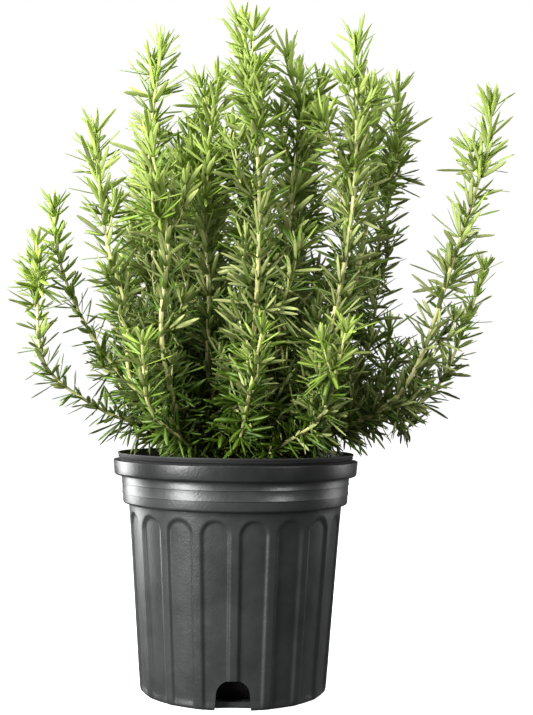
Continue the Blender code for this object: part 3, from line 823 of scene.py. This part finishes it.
def axil_leaves(bm, shapes, at, azimuth, rise, radius, length, age, more, chance):
    """The shoot in a leaf's axil: a few smaller leaves that rise more steeply, and more of them low down."""
    for _ in range(chance.choice((1, 2, 3, 3, 4)) + more):
        small = length * chance.uniform(0.50, 1.00)
        steep = min(math.radians(80), rise + math.radians(chance.uniform(-16 - 4 * more, 44)))
        spray = 1.3 if more else 0.75
        place = leaf_place(at, azimuth + chance.gauss(0, spray), steep, radius * 0.6, chance.gauss(0, 0.35))
        tones = (chance.random(), min(1, age + chance.uniform(-0.05, 0.2)))
        shape = pick_shape(shapes, AXIL_CURL, chance)
        put_leaf(bm, shape, place, small, LEAF_WIDTH * chance.uniform(0.62, 0.95), tones)


def tip_tuft(bm, shapes, at, size, age, chance):
    """The close bud of young leaves that ends a shoot."""
    for index in range(TIP_LEAVES):
        inner = index / TIP_LEAVES
        rise = math.radians(34 + 46 * inner)
        place = leaf_place(at, index * TIP_TURN, rise, TIP_LIFT, chance.gauss(0, 0.2))
        length = size * LEAF_LENGTH * (0.84 - 0.50 * inner) * chance.uniform(0.85, 1.15)
        tones = (chance.random(), age)
        put_leaf(bm, pick_shape(shapes, AXIL_CURL, chance), place, length, LEAF_WIDTH * 0.66, tones)


def side_shoot(at, length, azimuth, rise, chance):
    """A short branch that leaves a stem's frame and bends up towards the light."""
    around = at @ Matrix.Rotation(azimuth, 4, "Z")
    out = (around.to_3x3() @ Vector((0, math.cos(rise), math.sin(rise)))).normalized()
    start = at.translation
    upward = Vector((chance.gauss(0, 0.14), chance.gauss(0, 0.14), 1))
    return [start, start + out * length * 0.38, start + out * length * 0.55 + upward * length * 0.42]


def in_the_open(points):
    """Whether a side shoot would stay clear of the pot and the soil."""
    return all(clear_of_pot(point) for point in points)


def grow_run(wood, green, shapes, run, thick, thin, age_of, start, size, chance):
    """A stem or shoot with swollen nodes and leaves; gives the frames at its nodes and the radii there."""
    spaced = evenly(run, NODE_SPACING * size**0.4 / 2)
    if len(spaced) % 2 == 0:
        spaced.pop()
    places = frames_along(spaced)
    last = len(spaced) - 1
    radii = []
    for step in range(last + 1):
        swell = 1.10 if step % 2 == 0 else 0.96
        radii.append((thick + (thin - thick) * (step / last) ** 1.8) * swell)
    skin_run(wood, places, radii, age_of, chance)
    nodes, node_radii = places[::2], radii[::2]
    leafy_run(green, shapes, nodes, node_radii, age_of, start, size, chance)
    tip_tuft(green, shapes, places[-1], size**0.5, age_of(1.0), chance)
    return nodes, node_radii


def shoot_age(foot, tip):
    """How a stem or shoot ages from its foot to its tip, where 1 is the freshest growth."""
    return lambda share: foot + (tip - foot) * share


def grow_side_shoots(wood, green, shapes, nodes, radii, vigour, tip_age, chance):
    """Short branches at some of a stem's nodes. None leans to the front low down."""
    last = len(nodes) - 1
    for step in range(2, last - 2):
        share = step / last
        if chance.random() > vigour**4 * (0.72 - 0.40 * share):
            continue
        length = vigour * chance.uniform(0.034, 0.110) * (1.1 - 0.75 * share)
        rise = math.radians(chance.uniform(20, 55))
        branch = side_shoot(nodes[step], length, chance.uniform(0, math.tau), rise, chance)
        leans_forward = branch[1].y - branch[0].y < -0.12 * length
        if not in_the_open(branch[1:]) or (leans_forward and share < 0.7):
            continue
        age_of = shoot_age(0.85 * share * tip_age, 0.45 + 0.55 * share * tip_age)
        run, thick = smooth_run(branch), radii[step] * 0.5
        grow_run(wood, green, shapes, run, thick, SHOOT_TIP_RADIUS, age_of, 0.12, 0.84 * vigour, chance)


def grow_stem(index, route, shapes, stem_finish, leaf_finish, chance):
    """One stem with its side shoots, and the leaves on them."""
    ground = Vector((0, 0, POT_TOP - SOIL_DROP + SOIL_CROWN))
    points = [ground + Vector(point) / 1000 for point in route]
    low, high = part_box("woody_crown")
    heart = (low + high) / 2
    points = [heart + (points[0] - heart).normalized() * (high.x - low.x) * 0.44] + points
    wood, green = bmesh.new(), bmesh.new()
    for bm in (wood, green):
        bm.verts.layers.float_color.new("tone")
    span = (points[-1] - points[0]).length
    vigour = WEAKER_STEMS.get(index, 1.0)
    thick = STEM_BASE_RADIUS * vigour * (0.7 + 0.3 * min(1, span / 0.3))
    # Short shoots sit low in the shade of the bush, so their tips are less fresh; the darker leaf green this
    # gives them is painted shade.
    tip_age = 0.62 + 0.38 * min(1, span / 0.25)
    run, age_of = smooth_run(points), shoot_age(0, tip_age)
    nodes, radii = grow_run(wood, green, shapes, run, thick, STEM_TIP_RADIUS, age_of, 0.04, vigour, chance)
    grow_side_shoots(wood, green, shapes, nodes, radii, vigour, tip_age, chance)
    bmesh.ops.recalc_face_normals(wood, faces=wood.faces)
    shoot = finished(f"shoot_{index:02d}", wood, stem_finish)
    needles = finished(f"needles_{index:02d}", green, leaf_finish, sharp=180)
    stands_for(shoot, "stem_bark", f"stem_{index:02d}")
    stands_for(needles, "leaf", f"leaves_{index:02d}")


def leaf_material(mottle):
    """Leathery green above with a paler vein, grey-green felt below, and yellow-green young growth."""
    made = material("leaf", (0.10, 0.19, 0.055), 0.45)
    tree, shader = made.node_tree, shader_of(made)
    tones = add(tree, "Attribute", {"attribute_name": "tone"})
    parts = add(tree, "SeparateColor", Color=tones.outputs["Color"])
    pick, age, under = (parts.outputs[name] for name in ("Red", "Green", "Blue"))
    place = add(tree, "TexCoord").outputs["Object"]
    patches = use(tree, mottle, Vector=place, Scale=160.0)["Mask"]
    dark = blend(tree, pick, rgb(0.026, 0.072, 0.003), rgb(0.088, 0.170, 0.010))
    dark = blend(tree, sums(tree, "MULTIPLY", patches, 0.5), dark, rgb(0.115, 0.200, 0.018))
    fresh = blend(tree, pick, rgb(0.23, 0.37, 0.034), rgb(0.42, 0.56, 0.090))
    upper = blend(tree, spread(tree, age, 0.55, 1.05), dark, fresh)
    upper = blend(tree, spread(tree, under, 0.0, 0.07, 0.35, 0.0), upper, rgb(0.26, 0.34, 0.08))
    felt = blend(tree, patches, rgb(0.27, 0.31, 0.090), rgb(0.43, 0.46, 0.185))
    felt = blend(tree, spread(tree, age, 0.6, 1.05), felt, rgb(0.36, 0.46, 0.11))
    shows = spread(tree, under, 0.48, 0.66)
    tip = spread(tree, tones.outputs["Alpha"], 0.93, 1.0, 0, 0.5)
    shade = blend(tree, shows, upper, felt)
    shade = blend(tree, tip, shade, rgb(0.20, 0.17, 0.06))
    put(tree, shader.inputs["Base Color"], shade)
    put(tree, shader.inputs["Roughness"], spread(tree, shows, 0, 1, 0.36, 0.85))
    shader.inputs["Specular IOR Level"].default_value = 0.36
    put(tree, shader.inputs["Normal"], bump(tree, patches, 0.25, 0.0003))
    return made


# Soil and crown


def soil_material(mottle):
    """Dark crumbly mix, black with damp towards the pot's floor."""
    made = material("soil", (0.030, 0.020, 0.013), 0.95)
    tree, shader = made.node_tree, shader_of(made)
    place = add(tree, "TexCoord").outputs["Object"]
    patches = use(tree, mottle, Vector=place, Scale=70.0)["Mask"]
    crumbs = add(tree, "TexVoronoi", Vector=place, Scale=420.0)
    shade = blend(tree, patches, rgb(0.020, 0.013, 0.008), rgb(0.060, 0.040, 0.025))
    # Painted shade: darker in the hollows between crumbs.
    hollow_shade = spread(tree, crumbs.outputs["Distance"], 0.2, 0.7, 0, 0.5)
    shade = blend(tree, hollow_shade, shade, rgb(0.012, 0.008, 0.006))
    height = add(tree, "SeparateXYZ", Vector=place).outputs["Z"]
    damp = spread(tree, height, 0.03, 0.12, 0.85, 0)
    shade = blend(tree, damp, shade, rgb(0.003, 0.002, 0.002))
    put(tree, shader.inputs["Base Color"], shade)
    put(tree, shader.inputs["Normal"], bump(tree, crumbs.outputs["Distance"], 0.8, 0.0012))
    return made


def potting_mix(finish):
    """The mix with a lumpy top, in the space of the frame's soil."""
    low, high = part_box("potting_soil")
    top = POT_TOP - SOIL_DROP
    edge = high.x - 0.002
    waist = inner_radius(COLLAR_FOOT) - SOIL_ROOM
    profile = [(0, low.z), (SOIL_FOOT_RADIUS, low.z)]
    profile += [(inner_radius(SOIL_TAPER_TOP) - SOIL_ROOM, SOIL_TAPER_TOP)]
    profile += [(waist, COLLAR_FOOT - 0.001), (waist, COLLAR_FOOT + 0.005), (edge, top - 0.001)]
    for ring in range(1, SOIL_RINGS + 1):
        radius = edge * (1 - ring / SOIL_RINGS)
        profile.append((radius, top + SOIL_CROWN * smooth_step(1 - radius / high.x)))
    bm = turned(profile, 120)
    for vert in bm.verts:
        if vert.co.z > top - 0.0005:
            bumpy = noise.noise(vert.co * 90) * 0.0022 + noise.noise(vert.co * 260) * 0.0012
            vert.co.z += bumpy - 0.0012
    stands_for(finished("potting_mix", bm, finish, sharp=180), "soil", "potting_soil")


def bark_chips(finish, chance):
    """Loose bark chips and grit strewn over the soil."""
    bm = bmesh.new()
    top = POT_TOP - SOIL_DROP
    for _ in range(CHIPS):
        angle, out = chance.uniform(0, math.tau), math.sqrt(chance.random()) * CHIPS_REACH
        place = Vector((out * math.cos(angle), out * math.sin(angle), 0))
        place.z = top + SOIL_CROWN * smooth_step(1 - out / 0.1) - 0.0004
        size = chance.uniform(0.0012, 0.0042)
        spin = Matrix.Rotation(chance.uniform(0, math.tau), 4, "Z")
        tilt = Matrix.Rotation(chance.gauss(0, 0.35), 4, "X")
        shape = Matrix.Diagonal((size, size * chance.uniform(0.45, 0.9), size * chance.uniform(0.2, 0.45), 1))
        lies = Matrix.Translation(place) @ spin @ tilt @ shape
        made = bmesh.ops.create_icosphere(bm, subdivisions=1, radius=1, matrix=lies)
        for vert in made["verts"]:
            vert.co += Vector((chance.gauss(0, 1), chance.gauss(0, 1), chance.gauss(0, 0.6))) * size * 0.12
    stands_for(finished("bark_chips", bm, finish, sharp=25), "soil")


def chip_material(mottle):
    """Brown bark with paler fibres along each chip."""
    made = material("bark_chip", (0.07, 0.04, 0.022), 0.85)
    tree, shader = made.node_tree, shader_of(made)
    place = add(tree, "TexCoord").outputs["Object"]
    patches = use(tree, mottle, Vector=place, Scale=150.0)["Mask"]
    fibre_map = add(tree, "Mapping", Vector=place, Scale=(300, 1500, 900))
    fibres = add(tree, "TexNoise", Vector=fibre_map.outputs["Vector"], Scale=1.0, Detail=3.0)
    shade = blend(tree, patches, rgb(0.030, 0.017, 0.010), rgb(0.135, 0.080, 0.042))
    pale = spread(tree, fibres.outputs["Fac"], 0.45, 0.75, 0, 0.6)
    shade = blend(tree, pale, shade, rgb(0.20, 0.135, 0.08))
    put(tree, shader.inputs["Base Color"], shade)
    put(tree, shader.inputs["Normal"], bump(tree, fibres.outputs["Fac"], 0.6, 0.0005))
    return made


def bark_material(mottle):
    """Old bark in plates with dark cracks between them."""
    made = material("crown_bark", (0.16, 0.105, 0.06), 0.88)
    tree, shader = made.node_tree, shader_of(made)
    place = add(tree, "TexCoord").outputs["Object"]
    patches = use(tree, mottle, Vector=place, Scale=120.0)["Mask"]
    plates = add(tree, "TexVoronoi", {"feature": "DISTANCE_TO_EDGE"}, Vector=place, Scale=260.0)
    crack = spread(tree, plates.outputs["Distance"], 0.0, 0.16)
    shade = blend(tree, patches, rgb(0.13, 0.085, 0.05), rgb(0.27, 0.20, 0.13))
    shade = blend(tree, crack, rgb(0.035, 0.022, 0.014), shade)
    put(tree, shader.inputs["Base Color"], shade)
    put(tree, shader.inputs["Normal"], bump(tree, crack, 0.8, 0.0010))
    return made


def woody_crown(finish):
    """The knuckled stump, filling the frame's crown."""
    low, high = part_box("woody_crown")
    middle, half = (low + high) / 2, (high - low) / 2
    bm = bmesh.new()
    bmesh.ops.create_icosphere(bm, subdivisions=5, radius=1)
    for vert in bm.verts:
        knuckle = noise.noise(vert.co * 3.1) * 0.12 + noise.noise(vert.co * 7.7) * 0.05
        vert.co *= 0.97 + knuckle
    bmesh.ops.scale(bm, vec=half, verts=bm.verts)
    bmesh.ops.translate(bm, vec=middle, verts=bm.verts)
    stands_for(finished("crown_stump", bm, finish, sharp=180), "bark", "woody_crown")


def rosemary(mottle):
    """The whole plant, stem by stem."""
    stem_finish = stem_material(mottle)
    leaf_finish = leaf_material(mottle)
    shapes = leaf_shapes()
    chance = random.Random(11)
    for number, route in enumerate(STEM_ROUTES):
        grow_stem(number + 1, route, shapes, stem_finish, leaf_finish, chance)


camera()
studio()
floor()
shared_mottle, shared_grain = mottle_group(), grain_group()
nursery_pot(pot_plastic(shared_grain, shared_mottle))
potting_mix(soil_material(shared_mottle))
bark_chips(chip_material(shared_mottle), random.Random(5))
woody_crown(bark_material(shared_mottle))
rosemary(shared_mottle)
